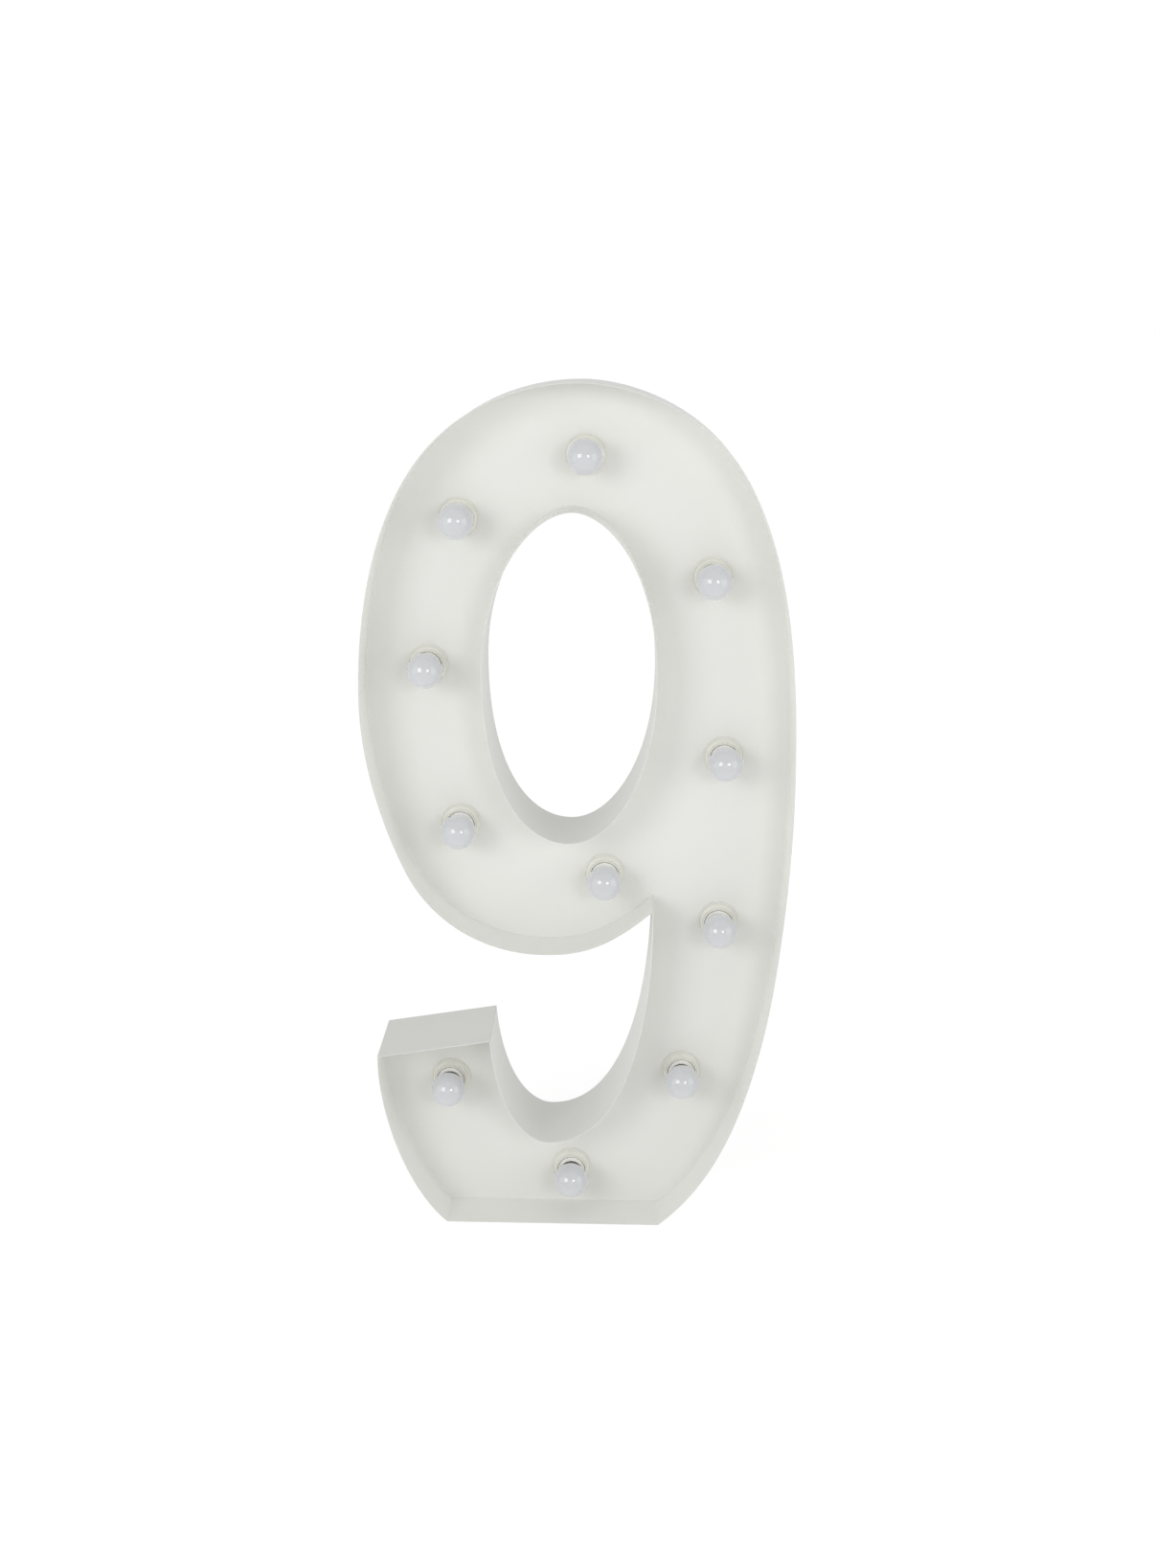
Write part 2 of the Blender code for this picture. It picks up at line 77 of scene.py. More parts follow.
# Rear fittings
SCREW_RADIUS = 0.0015
SCREW_LENGTH = 0.009
SCREW_HEAD_RADIUS = 0.0035
SCREW_HEAD_HEIGHT = 0.0021
SCREW_SLOT_WIDTH = 0.0009
SCREW_SLOT_DEPTH = 0.0008
SLOT_CUTTER_HEADS = 2
SCREW_CLEARANCE = 0.0003
SCREW_HEAD_EDGE = 0.0006
SCREW_DOME_SHARE = 0.2
SCREW_CROWN_SHARE = 0.55
SCREW_TIP_SHARE = 0.4
SCREW_PITCH = 0.0007
SCREW_THREAD = 0.0003
GROMMET_BORE_RADIUS = 0.0036
GROMMET_NECK_RADIUS = 0.0062
GROMMET_FLANGE_RADIUS = 0.0090
GROMMET_FLANGE_THICKNESS = 0.0024
GROMMET_GROOVE = 0.0006
GROMMET_GROOVE_DEPTH = 0.0005
GROMMET_BORE_LEAD = 0.001
GROMMET_ROUNDING = 0.0007

# Fine detail of the lamps that only the looks have: threads, then the shade ring's ribs, the groove
# in its mouth, the steps on its cone and its lip
CAP_PITCH = 0.00362
CAP_THREAD = 0.0007
CAP_COLLAR = 0.002
CAP_THREAD_START = 0.0022
SLEEVE_PITCH = 0.0025
SLEEVE_THREAD = 0.0006
RIBS = 60
RIB_DEPTH = 0.0008
RIB_ROWS = (0.0008, 0.0018)
RIB_END = 0.0004
GRIP_LENGTH = 0.0048
MOUTH_GROOVE = 0.0006
MOUTH_ROUNDING = 0.0002
STEPS_ON_CONE = 3
STEP_REACH = 0.0004
STEP_HEIGHT = 0.0006
STEP_EDGE = 0.0002
LIP_GROOVE = 0.0006
LIP_GROOVE_RIM = 0.0007
LIP_UNDERCUT = 0.0006
LIP_ROUNDING = 0.0004
HOLE_CLEARANCE = 0.0004

# Fine detail of the sheets that only the looks have
EDGE_ROUNDING = 0.0005
EDGE_LIMIT_SHARE = 0.45
SHEET_EDGE_PARTS = 6
FILLET = 0.0022
WELD_REACH = 0.0025
WELD_END = 0.001
LEDGE_CORNER = 0.003

# Smoothness: points and steps on curves, the angles in degrees above which an edge is sharp, which
# is small for sheets so that their faces stay flat, and how near points have to be to be joined
BEZIER_STEP = 3
CURVE_SAMPLES = 40
LEDGE_SAMPLES = 12
RIM_STEPS = 4
GLOBE_STEPS = 28
TURN_STEPS = 64
STEPS_PER_RIB = 4
THREAD_ROWS = 6
CAP_THREAD_ROWS = 8
ROUNDING_STEPS = 3
FILLET_STEPS = 4
WELD_POINTS = 9
CORNER_POINTS = 7
CIRCLE_STEPS = 48
SMALL_CIRCLE_STEPS = 24
SCREW_STEPS = 32
SHARP = 35
SHEET_SHARP = 20
FILLET_SHARP = 60
MERGE_DISTANCE = 1e-6

# Outline shares of WIDTH and HEIGHT, as chains of beziers, as in the CAD
RIGHT_AND_CROWN_SHARES = [
    (0.206, 0.000), (0.348, 0.058), (0.408, 0.153),
    (0.445, 0.240), (0.477, 0.315), (0.500, 0.442),
    (0.500, 0.538), (0.500, 0.690), (0.473, 0.813),
    (0.368, 0.900), (0.286, 0.968), (0.120, 1.000),
    (0.000, 1.000), (-0.055, 1.000), (-0.214, 0.995),
    (-0.335, 0.930), (-0.456, 0.865), (-0.500, 0.752),
    (-0.500, 0.650),
]
BOWL_SHARES = [
    (-0.500, 0.650), (-0.500, 0.574), (-0.455, 0.501),
    (-0.400, 0.443), (-0.343, 0.382), (-0.218, 0.342),
    (-0.074, 0.342), (0.008, 0.342), (0.075, 0.350),
    (0.178, 0.396),
]
HOOK_SHARES = [
    (0.178, 0.396), (0.185, 0.284), (0.137, 0.106),
    (-0.060, 0.106), (-0.113, 0.106), (-0.183, 0.140),
    (-0.201, 0.234),
]
TAIL_SHARES = [
    (-0.470, 0.212), (-0.473, 0.147), (-0.406, 0.042),
    (-0.306, 0.000),
]
COUNTER_SHARES = [
    (0.178, 0.665), (0.178, 0.798), (0.059, 0.858),
    (-0.016, 0.858), (-0.110, 0.858), (-0.219, 0.779),
    (-0.219, 0.679), (-0.219, 0.553), (-0.136, 0.478),
    (-0.017, 0.478), (0.077, 0.478), (0.178, 0.550),
    (0.178, 0.665),
]
LAMP_SHARES = {
    "tail": (-0.305, 0.1615),
    "foot": (-0.008, 0.046),
    "leg": (0.258, 0.176),
    "lower_right": (0.3385, 0.3665),
    "right": (0.3415, 0.5685),
    "upper_right": (0.3055, 0.7795),
    "top": (0.010, 0.918),
    "upper_left": (-0.2805, 0.8445),
    "left": (-0.352, 0.674),
    "lower_left": (-0.2775, 0.4835),
    "bowl_end": (0.065, 0.424),
}
GROMMET_SHARES = (-0.140, 0.0400)

# Ledges: the run of wall that carries each, and its share of the way along it
LEDGE_SHARES = {
    "crown": (RIGHT_AND_CROWN_SHARES, 0.68),
    "right": (RIGHT_AND_CROWN_SHARES, 0.30),
    "bowl": (BOWL_SHARES, 0.34),
}
FOOT_LEDGE_SHARE = 0.50

# The lengths of wall that look darker, which keep the plain coat without painted light, and the one
# that starts without a corner
WALLS_WITHOUT_PAINTED_LIGHT = ("wall_hook", "wall_tail_end")
WALL_WITHOUT_CORNER = "wall_bowl"

# Places along the depth
FRONT = -DEPTH / 2
BACK = DEPTH / 2
PANEL_FRONT = FRONT + PANEL_RECESS
PANEL_BACK = PANEL_FRONT + PANEL_SHEET
COVER_BACK = BACK - COVER_RECESS
COVER_FRONT = COVER_BACK - COVER_SHEET

# Camera that was fitted to the photograph: place, pitch down, turn and roll in degrees, and focal
# length in pixels
IMAGE_HEIGHT = 1637
CAMERA_PLACE = (0.0503, -2.668, 1.292)
CAMERA_PITCH = 13.71
CAMERA_TURN = -1.10
CAMERA_ROLL = 0.51
CAMERA_FOCUS = 2028
SENSOR_HEIGHT = 36

# Light: soft boxes in front (degrees round, degrees up, size, strength), a white room, and a floor
# whose own light rises from near to far where it is seen and is even where it lights the number
SOFT_BOXES = {
    "soft_box_left": (-33, 16, 1.8, 40),
    "soft_box_right": (22, 14, 1.2, 23),
    "soft_box_front": (0, 0, 3.0, 9),
    "side_box_left": (-62, 8, 3.0, 16),
    "side_box_right": (62, 8, 3.0, 25),
}
SOFT_BOX_DISTANCE = 4.5
ROOM_STRENGTH = 0.55
FLOOR_REACH = 60
FLOOR_COLOUR = (0.90, 0.90, 0.90)
FLOOR_LIFT_SHARE = 0.4
FLOOR_LIFT_NEAR = 1.60
FLOOR_LIFT_FAR = 1.83
FLOOR_LIFT_REACH = 2.0
FLOOR_GLOW = 1.05

# Materials: the stretch of noise that the mottle follows, how far the roughness swings with it, and
# the detail of the noise in mottle and grain
MOTTLE_START = 0.3
MOTTLE_END = 0.7
GLOSS_SWING = 0.12
MOTTLE_DETAIL = 4
GRAIN_DETAIL = 2

# Places of the materials on a wall: its coat, its rims with painted shade, and the side of the
# counter's wall that faces the tray, with painted light
COAT_INDEX, RIM_INDEX, TRAY_INDEX = range(3)


def place(share):
    """The real place of a point given as shares of WIDTH and HEIGHT."""
    return Vector((share[0] * WIDTH, share[1] * HEIGHT))


def sampled(shares, samples=CURVE_SAMPLES):
    """The points along a chain of beziers, both ends included."""
    knots = [place(share) for share in shares]
    points = [knots[0]]
    for start in range(0, len(knots) - 1, BEZIER_STEP):
        curve = knots[start:start + BEZIER_STEP + 1]
        points += interpolate_bezier(*curve, samples + 1)[1:]
    return points


def inward(loop, index):
    """The mitred inward direction at a point of an anticlockwise loop, one unit of inset long."""
    before = (loop[index] - loop[index - 1]).normalized()
    after = (loop[(index + 1) % len(loop)] - loop[index]).normalized()
    middle = (before.orthogonal() + after.orthogonal()).normalized()
    return middle / middle.dot(after.orthogonal())


def inset(loop, distance):
    """The loop drawn in by a distance, or let out where the distance is negative."""
    return [point + inward(loop, index) * distance for index, point in enumerate(loop)]


def deep(point, y):
    """A point of the outline at a place along the depth."""
    return Vector((point.x, y, point.y))


def linked(name, data):
    """A new object in the scene."""
    obj = bpy.data.objects.new(name, data)
    bpy.context.scene.collection.objects.link(obj)
    return obj


def baked(obj):
    """A mesh of the object as it stands, with its modifiers and bevels."""
    bpy.context.view_layer.update()
    evaluated = obj.evaluated_get(bpy.context.evaluated_depsgraph_get())
    return bpy.data.meshes.new_from_object(evaluated)


def finish_mesh(name, shell, sharp=SHARP):
    """An object from a bmesh, shaded smooth up to an angle in degrees."""
    bmesh.ops.remove_doubles(shell, verts=shell.verts, dist=MERGE_DISTANCE)
    bmesh.ops.recalc_face_normals(shell, faces=shell.faces)
    for face in shell.faces:
        face.smooth = True
    mesh = bpy.data.meshes.new(name)
    shell.to_mesh(mesh)
    shell.free()
    mesh.set_sharp_from_angle(angle=math.radians(sharp))
    return linked(name, mesh)


def sweep(name, sections, closed=False, sharp=SHARP):
    """A solid through a row of cross-sections, each a closed ring of points."""
    shell = bmesh.new()
    rings = [[shell.verts.new(point) for point in outline] for outline in sections]
    follow = rings[1:] + rings[:1] if closed else rings[1:]
    for ring, after in zip(rings, follow):
        for index in range(len(ring)):
            step = (index + 1) % len(ring)
            shell.faces.new((ring[index], ring[step], after[step], after[index]))
    if not closed:
        shell.faces.new(rings[0][::-1])
        shell.faces.new(rings[-1])
    return finish_mesh(name, shell, sharp)


def softened(profile, radius=EDGE_ROUNDING):
    """The profile with each inner corner cut back and rounded."""
    points = [profile[0]]
    for before, corner, after in zip(profile, profile[1:], profile[2:]):
        corner = Vector(corner)
        back = Vector(before) - corner
        ahead = Vector(after) - corner
        cut = min(radius, back.length * EDGE_LIMIT_SHARE, ahead.length * EDGE_LIMIT_SHARE)
        first = corner + back.normalized() * cut
        last = corner + ahead.normalized() * cut
        for step in range(ROUNDING_STEPS + 1):
            share = step / ROUNDING_STEPS
            points.append(first.lerp(corner, share).lerp(corner.lerp(last, share), share))
    points.append(profile[-1])
    return [tuple(point) for point in points]


def spun(name, profile, steps, wave=None, closed=False):
    """A piece turned round its own Z axis from rows of (radius, height, ripple depth)."""
    shell = bmesh.new()
    turns = []
    for step in range(steps):
        angle = math.tau * step / steps
        column = []
        for row in profile:
            radius = row[0]
            if len(row) > 2:
                radius -= row[2] * wave(angle, row[1])
            point = (radius * math.cos(angle), radius * math.sin(angle), row[1])
            column.append(shell.verts.new(point))
        turns.append(column)
    count = len(profile) if closed else len(profile) - 1
    for column, after in zip(turns, turns[1:] + turns[:1]):
        for index in range(count):
            step = (index + 1) % len(profile)
            shell.faces.new((column[index], after[index], after[step], column[step]))
    return finish_mesh(name, shell)


def helix(pitch):
    """Ripple of a screw thread, from 0 at the crest to 1 in the groove."""
    return lambda angle, height: 0.5 - 0.5 * math.cos(math.tau * height / pitch - angle)


def ribs(angle, height):
    """Ripple of the grip ribs round a ring."""
    return 0.5 - 0.5 * math.cos(RIBS * angle)


def threaded(radius, top, bottom, pitch, depth, rows=THREAD_ROWS):
    """Rows down a threaded stretch, whose ripple fades in and out over one pitch."""
    count = max(2, round(abs(top - bottom) / pitch * rows))
    found = []
    for index in range(count + 1):
        height = top + (bottom - top) * index / count
        ends = min(abs(top - height), abs(height - bottom)) / pitch
        found.append((radius, height, depth * min(1, ends)))
    return found


def section(outer, inner):
    """The cross-section of a wall at one point of its run, with rounded front and back rims."""
    across = inner - outer
    radius = WALL_SHEET / 2
    ring = []
    for edge, turn in ((FRONT, 1), (BACK, -1)):
        rim = []
        for step in range(RIM_STEPS + 1):
            angle = math.pi * step / RIM_STEPS
            point = outer + across * (1 - math.cos(angle)) / 2
            rim.append(deep(point, edge + turn * radius * (1 - math.sin(angle))))
        ring += rim[::turn]
    return ring


def wall(name, cad_node, points, inner_points, coat, closed=False):
    """One bent length of the wall, with a darker coat on its front and back rims as painted shade.
    """
    if not closed:
        ends = []
        for run in (points, inner_points):
            first = run[0] + (run[1] - run[0]).normalized() * GAP / 2
            last = run[-1] + (run[-2] - run[-1]).normalized() * GAP / 2
            ends.append([first, *run[1:-1], last])
        points, inner_points = ends
    sections = [section(*pair) for pair in zip(points, inner_points)]
    sheet = sweep(name, sections, closed, SHEET_SHARP)
    sheet.data.materials.append(coat)
    sheet.data.materials.append(RIM_PAINTED_SHADE)
    # The front and back rims take the darker coat: painted shade, since they face the light more
    # than the recessed panel.
    for face in sheet.data.polygons:
        if abs(face.center.y) > DEPTH / 2 - WALL_SHEET / 2:
            face.material_index = RIM_INDEX
    return dress(sheet, coat, "casing", "white_powder_coat", cad_node)


def dress(obj, look, body, slot, *nodes):
    """Gives a piece its material if it has none and its body, and hides the CAD nodes that it
    stands for. The slot is not used.
    """
    if not obj.data.materials:
        obj.data.materials.append(look)
    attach(obj, body)
    if nodes:
        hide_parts(*nodes)
    return obj


def flat_sheet(name, loops, front, thickness):
    """A sheet cut to an outer loop, less any inner loops, with slightly broken edges."""
    curve = bpy.data.curves.new(name, "CURVE")
    curve.dimensions = "2D"
    curve.fill_mode = "BOTH"
    edge = thickness / SHEET_EDGE_PARTS
    curve.extrude = thickness / 2 - edge
    curve.bevel_depth = edge
    curve.bevel_resolution = 1
    curve.offset = -edge
    for loop in loops:
        spline = curve.splines.new("POLY")
        spline.points.add(len(loop) - 1)
        spline.use_cyclic_u = True
        for knot, point in zip(spline.points, loop):
            knot.co = (point.x, point.y, 0, 1)
    source = linked(name, curve)
    mesh = baked(source)
    shell = bmesh.new()
    shell.from_mesh(mesh)
    bmesh.ops.rotate(shell, verts=shell.verts, matrix=Matrix.Rotation(math.pi / 2, 3, "X"))
    bmesh.ops.translate(shell, verts=shell.verts, vec=(0, front + thickness / 2, 0))
    bpy.data.objects.remove(source)
    bpy.data.curves.remove(curve)
    bpy.data.meshes.remove(mesh)
    return finish_mesh(name, shell, SHEET_SHARP)


def circle(centre, radius, steps=CIRCLE_STEPS):
    """A loop of points round a centre."""
    angles = [math.tau * step / steps for step in range(steps)]
    return [centre + Vector((math.cos(angle), math.sin(angle))) * radius for angle in angles]


def corner_curve(first, corner, last, points):
    """Points on a curve that runs from first to last and leans into the corner between them."""
    knots = [spot.to_3d() for spot in (first, corner, corner, last)]
    return [spot.to_2d() for spot in interpolate_bezier(*knots, points)]


def node(tree, kind, **values):
    """A shader node with its inputs and settings filled in."""
    made = tree.nodes.new(kind)
    for key, value in values.items():
        if key in made.inputs:
            made.inputs[key].default_value = value
        else:
            setattr(made, key, value)
    return made


def material(name, colour, roughness, mottle, grain, **sockets):
    """A Principled material with a mottle (features per metre, share of change) in its colour and
    roughness, a list of grain bumps (features per metre, depth in metres), and other sockets."""
    made = bpy.data.materials.new(name)
    made.use_nodes = True
    tree = made.node_tree
    links = tree.links
    shader = tree.nodes["Principled BSDF"]
    for key, value in sockets.items():
        shader.inputs[key.replace("_", " ")].default_value = value
    coordinates = node(tree, "ShaderNodeTexCoord").outputs["Object"]
    scale, change = mottle
    cloud = node(tree, "ShaderNodeTexNoise", Scale=scale, Detail=MOTTLE_DETAIL)
    links.new(coordinates, cloud.inputs["Vector"])
    tint = node(tree, "ShaderNodeValToRGB")
    low, high = tint.color_ramp.elements
    low.position = MOTTLE_START
    high.position = MOTTLE_END
    low.color = (*[part * (1 - change) for part in colour], 1)
    high.color = (*[min(1, part * (1 + change)) for part in colour], 1)
    links.new(cloud.outputs["Fac"], tint.inputs["Fac"])
    links.new(tint.outputs["Color"], shader.inputs["Base Color"])
    gloss = node(tree, "ShaderNodeMapRange")
    gloss.inputs["To Min"].default_value = roughness * (1 - GLOSS_SWING)
    gloss.inputs["To Max"].default_value = roughness * (1 + GLOSS_SWING)
    links.new(cloud.outputs["Fac"], gloss.inputs["Value"])
    links.new(gloss.outputs["Result"], shader.inputs["Roughness"])
    normal = None
    for features, depth in grain:
        noise = node(tree, "ShaderNodeTexNoise", Scale=features, Detail=GRAIN_DETAIL)
        links.new(coordinates, noise.inputs["Vector"])
        bump = node(tree, "ShaderNodeBump", Strength=1.0, Distance=depth)
        links.new(noise.outputs["Fac"], bump.inputs["Height"])
        if normal:
            links.new(normal, bump.inputs["Normal"])
        normal = bump.outputs["Normal"]
    links.new(normal, shader.inputs["Normal"])
    return made


def holder_profile():
    """Rows of the lampholder: socket thread, mouth, threaded sleeve, shoulder and rear."""
    bore = CAP_RADIUS + CAP_CLEARANCE
    floor = HOLDER_MOUTH - CAP_LENGTH - GAP
    lead = HOLDER_MOUTH - HOLDER_LEAD_DEPTH
    front = -PANEL_SHEET - GAP
    back = front - HOLDER_SHOULDER_THICKNESS
    collar = RING_MOUTH - SLEEVE_PITCH
    thread = threaded(bore, lead - CAP_PITCH / 2, floor + CAP_PITCH, CAP_PITCH, -CAP_THREAD)
    inside = softened([(0, floor), (bore, floor), (bore, floor + CAP_PITCH)]) + thread[::-1]
    mouth = softened([
        (bore, lead - CAP_PITCH / 2),
        (bore, lead),
        (HOLDER_LEAD_RADIUS, HOLDER_MOUTH),
        (HOLDER_TUBE_RADIUS, HOLDER_MOUTH),
        (HOLDER_TUBE_RADIUS, collar),
    ])
    sleeve = threaded(HOLDER_TUBE_RADIUS, collar, front, SLEEVE_PITCH, SLEEVE_THREAD)
    outside = softened([
        (HOLDER_TUBE_RADIUS, front),
        (HOLDER_SHOULDER_RADIUS, front),
        (HOLDER_SHOULDER_RADIUS, back),
        (HOLDER_TUBE_RADIUS, back),
        (HOLDER_TUBE_RADIUS, HOLDER_REAR_TAPER - HOLDER_REAR),
        (HOLDER_REAR_RADIUS, -HOLDER_REAR),
        (0, -HOLDER_REAR),
    ])
    return inside + mouth[1:-1] + sleeve + outside[1:]


def ring_profile():
    """Rows of the shade ring: mouth, ribbed grip, stepped cone, groove and lip."""
    bore = HOLDER_TUBE_RADIUS + GAP
    flange = GAP + RING_FLANGE_THICKNESS
    slope = (RING_SHOULDER_RADIUS - RING_MOUTH_RADIUS) / (RING_MOUTH - flange)
    grip = RING_MOUTH - GRIP_LENGTH
    mouth = softened([
        (bore, GAP),
        (bore, grip),
        (bore + MOUTH_GROOVE, RING_MOUTH),
        (RING_MOUTH_RADIUS, RING_MOUTH),
        (RING_MOUTH_RADIUS + slope * GRIP_LENGTH, grip),
    ], MOUTH_ROUNDING)
    ripple = [
        (RING_MOUTH_RADIUS + slope * down, RING_MOUTH - down, RIB_DEPTH)
        for down in (*RIB_ROWS, GRIP_LENGTH - RIB_END)
    ]
    cone = []
    for step in range(STEPS_ON_CONE + 1):
        height = grip + (flange - grip) * step / STEPS_ON_CONE
        radius = RING_MOUTH_RADIUS + slope * (RING_MOUTH - height)
        cone += [
            (radius - STEP_REACH, height + STEP_HEIGHT),
            (radius + STEP_REACH, height + STEP_EDGE),
            (radius + STEP_REACH, height),
        ]
    lip = softened([
        (RING_SHOULDER_RADIUS, flange - LIP_GROOVE),
        (RING_SHOULDER_RADIUS + LIP_GROOVE, flange - LIP_GROOVE),
        (RING_SHOULDER_RADIUS + LIP_GROOVE_RIM, flange),
        (RING_RADIUS, flange),
        (RING_RADIUS, GAP),
        (RING_RADIUS - LIP_UNDERCUT, GAP),
    ], LIP_ROUNDING)
    return mouth[:-1] + ripple + cone[:-1] + lip


def base_profile():
    """Rows of the bulb's neck and screw cap, down to its centre contact."""
    rim = GLOBE_SEAT - GAP
    end = HOLDER_MOUTH - CAP_LENGTH
    neck = softened([
        (0, rim),
        (NECK_RIM_RADIUS, rim),
        (NECK_RIM_RADIUS, rim - NECK_RIM_THICKNESS),
        (NECK_RADIUS, NECK_WAIST),
        (NECK_RADIUS, NECK_BASE),
        (CAP_RADIUS, NECK_BASE),
        (CAP_RADIUS, NECK_BASE - CAP_COLLAR),
    ])
    shoulder = end + CONTACT_HEIGHT + CAP_SHOULDER_HEIGHT
    start = NECK_BASE - CAP_THREAD_START
    cap = threaded(CAP_RADIUS, start, shoulder, CAP_PITCH, CAP_THREAD, CAP_THREAD_ROWS)
    tip = softened([
        (CAP_RADIUS, shoulder),
        (CAP_SHOULDER_RADIUS, end + CONTACT_HEIGHT),
        (CONTACT_RADIUS, end + CONTACT_HEIGHT),
        (CONTACT_RADIUS, end),
        (0, end),
    ])
    return neck[:-1] + cap + tip[1:]


def globe_profile():
    """Rows of the opal globe, from its pole down to the seat, closed below."""
    rim = math.acos((GLOBE_SEAT - GLOBE_CENTRE) / GLOBE_RADIUS)
    angles = [rim * step / GLOBE_STEPS for step in range(GLOBE_STEPS + 1)]
    arc = [
        (GLOBE_RADIUS * math.sin(angle), GLOBE_CENTRE + GLOBE_RADIUS * math.cos(angle))
        for angle in angles
    ]
    return arc + [(0, GLOBE_SEAT)]


def coat_below(mesh, height, look):
    """Gives the faces below a height a material of their own."""
    mesh.materials.append(look)
    for face in mesh.polygons:
        if face.center.z < height:
            face.material_index = len(mesh.materials) - 1


def add_lamps():
    """Eleven lamps that share four meshes."""
    steps = RIBS * STEPS_PER_RIB
    models = {
        "lampholder": spun("lampholder", holder_profile(), TURN_STEPS, helix(SLEEVE_PITCH)),
        "shade_ring": spun("shade_ring", ring_profile(), steps, ribs, closed=True),
        "bulb_base": spun("bulb_base", base_profile(), TURN_STEPS, helix(CAP_PITCH)),
        "bulb_globe": spun("bulb_globe", globe_profile(), TURN_STEPS),
    }
    looks = {
        "lampholder": (HOLDER_PLASTIC, "ivory_plastic"),
        "shade_ring": (RING_PLASTIC, "ivory_plastic"),
        # The neck's near black colour is painted shade.
        "bulb_base": (NECK_PAINTED_SHADE, "white_plastic"),
        "bulb_globe": (OPAL, "opal_globe"),
    }
    meshes = {kind: model.data for kind, model in models.items()}
    for kind, model in models.items():
        meshes[kind].materials.append(looks[kind][0])
        bpy.data.objects.remove(model)
    coat_below(meshes["bulb_base"], NECK_BASE, NICKEL)
    for name, share in LAMP_SHARES.items():
        centre = place(share)
        bodies = {"bulb_base": f"base_{name}", "bulb_globe": f"globe_{name}"}
        for kind, mesh in meshes.items():
            piece = linked(f"{kind}_of_{name}", mesh)
            piece.location = deep(centre, PANEL_FRONT)
            piece.rotation_euler.x = math.pi / 2
            look, slot = looks[kind]
            dress(piece, look, bodies.get(kind, "casing"), slot, f"{kind}_{name}")


def add_walls():
    """The bent lengths of the wall. Gives the loops that the panel and the cover follow."""
    shapes = (RIGHT_AND_CROWN_SHARES, BOWL_SHARES, HOOK_SHARES, TAIL_SHARES)
    right, bowl, hook, tail = [sampled(shares) for shares in shapes]
    runs = {
        "wall_right_and_crown": right,
        "wall_bowl": bowl,
        "wall_hook": hook,
        "wall_tail_end": [hook[-1], tail[0]],
        "wall_tail": tail,
        "foot_plate": [tail[-1], right[0]],
    }
    outer = [point for run in runs.values() for point in run[:-1]]
    outer_inset = inset(outer, WALL_SHEET)
    counter = sampled(COUNTER_SHARES)[:-1]
    starts = {}
    start = 0
    for name, run in runs.items():
        end = start + len(run) - 1
        inner = [outer_inset[index % len(outer)] for index in range(start, end + 1)]
        # Most walls get the powder coat made lighter: painted light that evens their shading with
        # the panel's.
        coat = POWDER_COAT if name in WALLS_WITHOUT_PAINTED_LIGHT else WALL_COAT_PAINTED_LIGHT
        wall(f"sheet_of_{name}", name, run, inner, coat)
        starts[name] = start
        start = end
    add_counter_wall(counter)
    for name, index in starts.items():
        if name != WALL_WITHOUT_CORNER:
            add_weld(f"weld_{index}", outer, index)
    return outer, counter


def add_counter_wall(counter):
    """The wall round the counter, with the lighter coat of the outer walls on the side of the tray,
    as painted light.
    """
    inner = inset(counter, -WALL_SHEET)
    sheet = wall("sheet_of_wall_counter", "wall_counter", counter, inner, POWDER_COAT, closed=True)
    sheet.data.materials.append(WALL_COAT_PAINTED_LIGHT)
    middle = deep(sum(counter, Vector((0, 0))) / len(counter), 0)
    # Faces towards the tray take the lighter coat: painted light.
    for face in sheet.data.polygons:
        faces_tray = face.normal.dot(face.center - middle) > 0
        if face.material_index == COAT_INDEX and faces_tray:
            face.material_index = TRAY_INDEX


def add_weld(name, outer, index):
    """A hollow bead of weld down the inside of a corner, from the front to the back rim."""
    corner = outer[index] + inward(outer, index) * WALL_SHEET
    first = corner + (outer[index - 1] - outer[index]).normalized() * WELD_REACH
    last = corner + (outer[(index + 1) % len(outer)] - outer[index]).normalized() * WELD_REACH
    root = outer[index] + inward(outer, index) * WALL_SHEET / 2
    ring = [root, *corner_curve(first, corner, last, WELD_POINTS)]
    ends = (FRONT + WELD_END, BACK - WELD_END)
    bead = sweep(name, [[deep(point, depth) for point in ring] for depth in ends])
    # The weld takes the lighter coat of painted light, as the walls do.
    dress(bead, WALL_COAT_PAINTED_LIGHT, "casing", "white_powder_coat")


def add_fillet(name, loop, side):
    """The bead of weld that joins the panel to a wall, all the way round."""
    sections = []
    for index, point in enumerate(loop):
        into = inward(loop, index) * side
        ring = [deep(point, PANEL_FRONT + GAP), deep(point, PANEL_FRONT - FILLET)]
        for step in range(1, FILLET_STEPS):
            angle = math.pi / 2 * step / FILLET_STEPS
            across = FILLET * (1 - math.cos(angle))
            depth = PANEL_FRONT - FILLET * (1 - math.sin(angle))
            ring.append(deep(point + into * across, depth))
        ring.append(deep(point + into * FILLET, PANEL_FRONT))
        ring.append(deep(point + into * FILLET, PANEL_FRONT + GAP))
        sections.append(ring)
    bead = sweep(name, sections, closed=True, sharp=FILLET_SHARP)
    dress(bead, POWDER_COAT, "casing", "white_powder_coat")


